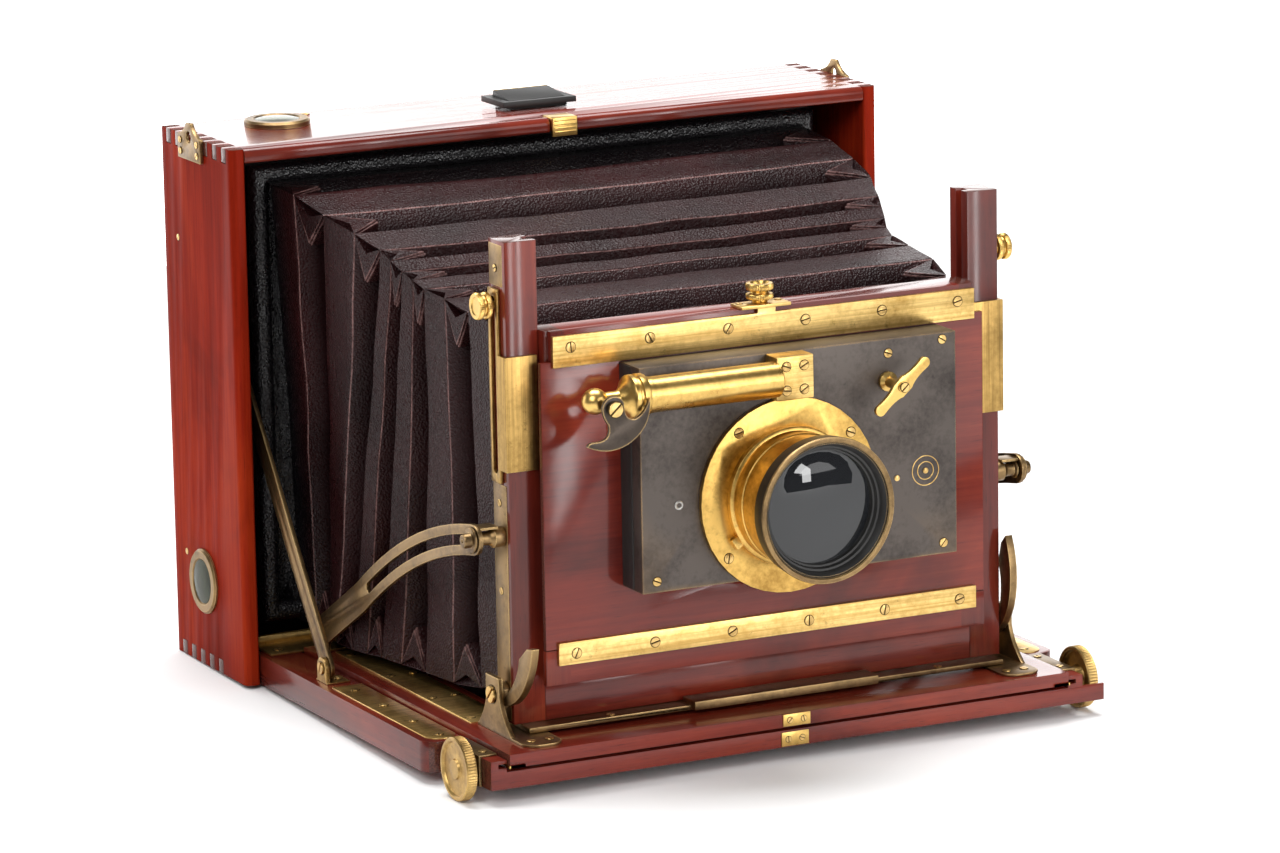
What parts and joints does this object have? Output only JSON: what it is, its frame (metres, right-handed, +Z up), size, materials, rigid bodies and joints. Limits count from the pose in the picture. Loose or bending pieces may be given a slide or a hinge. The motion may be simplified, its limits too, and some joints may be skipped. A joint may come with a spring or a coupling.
{
  "type": "view camera",
  "caption": "Mahogany and brass view camera standing open, with a shallow box body, pleated leather bellows, folding bed, focusing track, rising and tilting front, shutter and lens.",
  "frame": {"origin": "bottom centre of the bounding box, level with the underside of the focusing knobs", "axes": "+X to the right seen from the front, +Y from the lens towards the box, +Z up"},
  "size_m": [0.3036, 0.3032, 0.2367],
  "materials": {
    "mahogany": "french-polished red mahogany with dark end grain",
    "lacquered_brass": "golden lacquered brass with brushed wear",
    "aged_brass": "brown patinated brass, bright at rubbed edges",
    "steel": "plain turned steel",
    "blackened_metal": "matt dark bronze-black finish, worn to brass at edges",
    "glass": "clear and finely ground glass",
    "bellows_leather": "dark maroon pebble-grain leather, paler on the ridges"
  },
  "bodies": {
    "box": {"box_top_board": "mahogany", "box_bottom_board": "mahogany", "box_left_board": "mahogany", "box_right_board": "mahogany", "box_partition": "mahogany", "strap_lug_left": "lacquered_brass", "strap_lug_right": "lacquered_brass", "tripod_bush": "lacquered_brass", "top_level": "lacquered_brass", "side_level": "lacquered_brass", "finder_body": "blackened_metal", "bellows": "bellows_leather"},
    "screen": {"screen_frame": "mahogany", "ground_glass": "glass"},
    "finder_lid": {"finder_lid": "blackened_metal"},
    "bed_catch": {"bed_catch": "lacquered_brass"},
    "bed": {"bed_frame": "mahogany", "bed_hinge": "lacquered_brass", "strut_lug_left": "lacquered_brass", "strut_lug_right": "lacquered_brass", "pinion_bearing_left": "aged_brass", "pinion_bearing_right": "aged_brass"},
    "strut_left": {"strut_left": "aged_brass"},
    "strut_right": {"strut_right": "aged_brass"},
    "pinion": {"pinion_shaft": "steel", "focus_knob_left": "lacquered_brass", "focus_knob_right": "lacquered_brass"},
    "track": {"track_frame": "mahogany", "rack_left": "lacquered_brass", "rack_right": "lacquered_brass", "foot_bracket_left": "aged_brass", "foot_bracket_right": "aged_brass", "stay_lug_left": "lacquered_brass", "stay_lug_right": "lacquered_brass"},
    "stay_left": {"stay_left": "aged_brass"},
    "stay_right": {"stay_right": "aged_brass"},
    "lock_lever_left": {"lock_lever_left": "aged_brass"},
    "lock_lever_right": {"lock_lever_right": "aged_brass"},
    "standard": {"upright_left": "mahogany", "upright_right": "mahogany", "standard_sill": "mahogany", "sill_bar": "aged_brass"},
    "stay_clamp_left": {"stay_clamp_left": "aged_brass"},
    "stay_clamp_right": {"stay_clamp_right": "aged_brass"},
    "rise_clamp_left": {"rise_clamp_left": "lacquered_brass"},
    "rise_clamp_right": {"rise_clamp_right": "lacquered_brass"},
    "rising_front": {"rising_frame": "mahogany", "top_strip": "lacquered_brass", "rise_guide_left": "aged_brass", "rise_guide_right": "aged_brass"},
    "thumb_screw": {"thumb_screw": "lacquered_brass"},
    "lens_unit": {"lens_board": "mahogany", "shutter_case": "blackened_metal", "brake_cylinder": "lacquered_brass", "lens_flange": "lacquered_brass", "lens_barrel": "lacquered_brass", "front_element": "glass", "rear_element": "glass"},
    "wing_handle": {"wing_handle": "lacquered_brass"},
    "release_lever": {"release_lever": "aged_brass"}
  },
  "joints": [
    {"name": "bed_fold", "type": "hinge", "parent": "box", "child": "bed", "pos_m": [0, 0.0946, 0.0202], "axis": [-1, 0, 0], "range_deg": [0, 18], "deforming": ["bellows"]},
    {"name": "strut_left_swing", "type": "hinge", "parent": "bed", "child": "strut_left", "pos_m": [-0.1362, 0.0266, 0.0237], "axis": [-1, 0, 0], "range_deg": [-20.5, 0]},
    {"name": "strut_right_swing", "type": "hinge", "parent": "bed", "child": "strut_right", "pos_m": [0.1362, 0.0266, 0.0237], "axis": [-1, 0, 0], "range_deg": [-20.5, 0]},
    {"name": "focus_slide", "type": "slide", "parent": "bed", "child": "track", "axis": [0, -1, 0], "range_m": [0, 0.06], "deforming": ["bellows"]},
    {"name": "pinion_spin", "type": "hinge", "parent": "bed", "child": "pinion", "pos_m": [0, -0.1049, 0.0127], "axis": [1, 0, 0], "range_deg": [0, 860]},
    {"name": "standard_tilt", "type": "hinge", "parent": "track", "child": "standard", "pos_m": [0, -0.0864, 0.0353], "axis": [-1, 0, 0], "range_deg": [0, 15], "deforming": ["bellows"]},
    {"name": "stay_left_swing", "type": "hinge", "parent": "track", "child": "stay_left", "pos_m": [-0.122, 0.0676, 0.0265], "axis": [-1, 0, 0], "range_deg": [0, 0.5]},
    {"name": "lock_lever_left_turn", "type": "hinge", "parent": "track", "child": "lock_lever_left", "pos_m": [-0.112, -0.0864, 0.0353], "axis": [1, 0, 0], "range_deg": [-36, 0]},
    {"name": "stay_clamp_left_turn", "type": "hinge", "parent": "standard", "child": "stay_clamp_left", "pos_m": [-0.118, -0.0864, 0.0983], "axis": [1, 0, 0], "range_deg": [0, 90]},
    {"name": "rise_clamp_left_turn", "type": "hinge", "parent": "standard", "child": "rise_clamp_left", "pos_m": [-0.112, -0.0844, 0.1904], "axis": [1, 0, 0], "range_deg": [0, 180]},
    {"name": "stay_right_swing", "type": "hinge", "parent": "track", "child": "stay_right", "pos_m": [0.122, 0.0676, 0.0265], "axis": [-1, 0, 0], "range_deg": [0, 0.5]},
    {"name": "lock_lever_right_turn", "type": "hinge", "parent": "track", "child": "lock_lever_right", "pos_m": [0.112, -0.0864, 0.0353], "axis": [1, 0, 0], "range_deg": [0, 36]},
    {"name": "stay_clamp_right_turn", "type": "hinge", "parent": "standard", "child": "stay_clamp_right", "pos_m": [0.118, -0.0864, 0.0983], "axis": [1, 0, 0], "range_deg": [0, 90]},
    {"name": "rise_clamp_right_turn", "type": "hinge", "parent": "standard", "child": "rise_clamp_right", "pos_m": [0.112, -0.0844, 0.1904], "axis": [1, 0, 0], "range_deg": [0, 180]},
    {"name": "rise_slide", "type": "slide", "parent": "standard", "child": "rising_front", "axis": [0, 0, 1], "range_m": [0, 0.06], "deforming": ["bellows"]},
    {"name": "cross_slide", "type": "slide", "parent": "rising_front", "child": "lens_unit", "axis": [1, 0, 0], "range_m": [-0.01, 0.01]},
    {"name": "thumb_screw_turn", "type": "hinge", "parent": "rising_front", "child": "thumb_screw", "pos_m": [0, -0.0959, 0.1853], "axis": [0, 0, 1], "range_deg": [0, 360]},
    {"name": "wing_turn", "type": "hinge", "parent": "lens_unit", "child": "wing_handle", "pos_m": [0.0453, -0.1234, 0.1487], "axis": [0, -1, 0], "range_deg": [-90, 90]},
    {"name": "release_press", "type": "hinge", "parent": "lens_unit", "child": "release_lever", "pos_m": [-0.0844, -0.1342, 0.1553], "axis": [0, -1, 0], "range_deg": [0, 30], "stiffness_Nm_per_rad": 0.02},
    {"name": "screen_hinge", "type": "hinge", "parent": "box", "child": "screen", "pos_m": [0, 0.1416, 0.2143], "axis": [1, 0, 0], "range_deg": [0, 90]},
    {"name": "finder_lid_hinge", "type": "hinge", "parent": "box", "child": "finder_lid", "pos_m": [0.002, 0.1228, 0.2349], "axis": [-1, 0, 0], "range_deg": [0, 90]},
    {"name": "bed_catch_press", "type": "slide", "parent": "box", "child": "bed_catch", "axis": [0, 1, 0], "range_m": [0, 0.0015], "stiffness_N_per_m": 400}
  ],
  "couplings": [
    {"joint": "strut_left_swing", "follows": "bed_fold", "ratio": -1.12},
    {"joint": "strut_right_swing", "follows": "bed_fold", "ratio": -1.12},
    {"joint": "pinion_spin", "follows": "focus_slide", "rad_per_m": 250},
    {"joint": "stay_left_swing", "follows": "standard_tilt", "ratio": 0.03},
    {"joint": "stay_right_swing", "follows": "standard_tilt", "ratio": 0.03}
  ]
}
